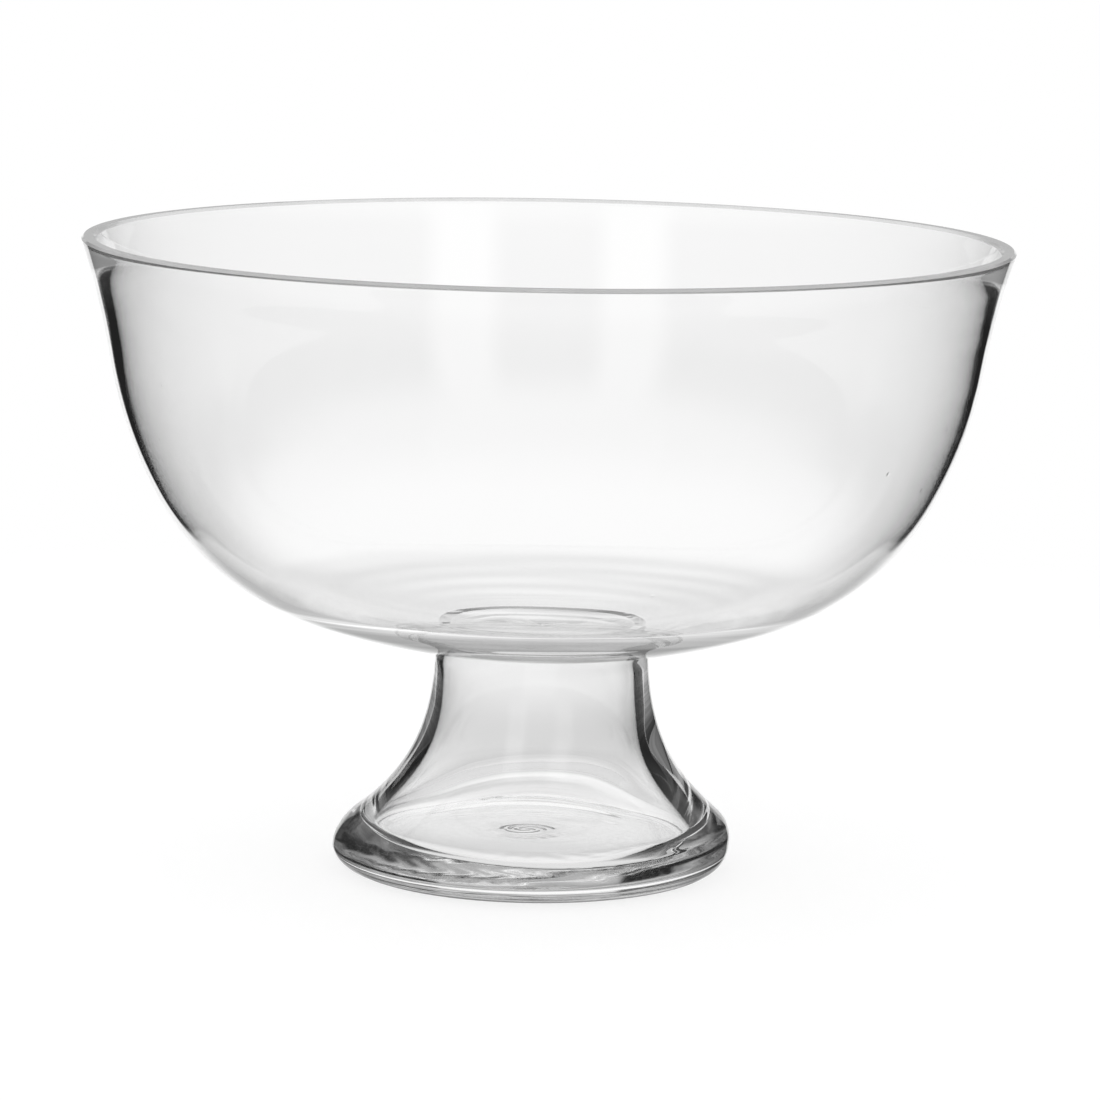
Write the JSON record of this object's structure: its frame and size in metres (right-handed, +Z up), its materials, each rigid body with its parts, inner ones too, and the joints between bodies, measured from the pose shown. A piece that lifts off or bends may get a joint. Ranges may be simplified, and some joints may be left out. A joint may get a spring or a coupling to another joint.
{
  "type": "trifle bowl",
  "caption": "Footed trifle bowl in clear colourless glass: a wide blown bowl with a flared cut rim on a hollow flared stem and a thick round-edged base.",
  "frame": {"origin": "on the table, under the centre of the base", "axes": "+Z up along the axis of revolution; +Y points away from the viewer of the picture and +X to that viewer's right"},
  "size_m": [0.25, 0.25, 0.1714],
  "materials": {
    "clear_glass": "fire-polished, rim ground"
  },
  "bodies": {
    "root": {"bowl": "clear_glass", "stem": "clear_glass", "base": "clear_glass"}
  },
  "joints": []
}
